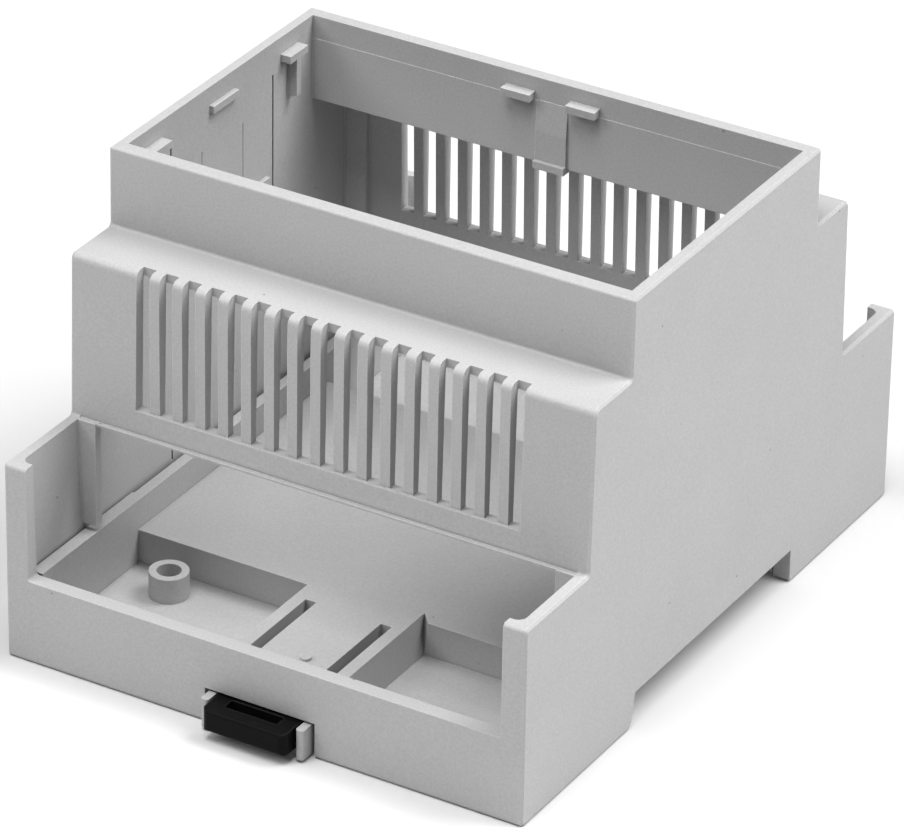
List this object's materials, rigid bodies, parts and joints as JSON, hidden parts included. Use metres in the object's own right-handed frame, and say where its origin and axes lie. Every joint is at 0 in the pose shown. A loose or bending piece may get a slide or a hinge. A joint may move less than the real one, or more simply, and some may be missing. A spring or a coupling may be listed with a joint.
{
  "type": "din rail enclosure",
  "caption": "Open light grey housing for a circuit board that snaps on a 35 mm mounting rail, with a 45 mm collar, vented block, two terminal bays and a sliding black rail clip.",
  "frame": {"origin": "middle of the face that lies on the mounting rail, under the middle of the 35 mm rail", "axes": "+X along the rail, +Y across the rail away from the clip's handle, +Z away from the rail towards the collar"},
  "size_m": [0.071, 0.0937, 0.0581],
  "materials": {
    "grey_abs": "fine spark-eroded grain",
    "black_polyamide": "fine grain, slight sheen"
  },
  "bodies": {
    "housing_body": {"housing": "grey_abs", "base_tray": "grey_abs"},
    "clip": {"rail_clip": "black_polyamide"}
  },
  "joints": [
    {"name": "clip_slide", "type": "slide", "parent": "housing_body", "child": "clip", "axis": [0, -1, 0], "range_m": [0, 0.0045]}
  ]
}
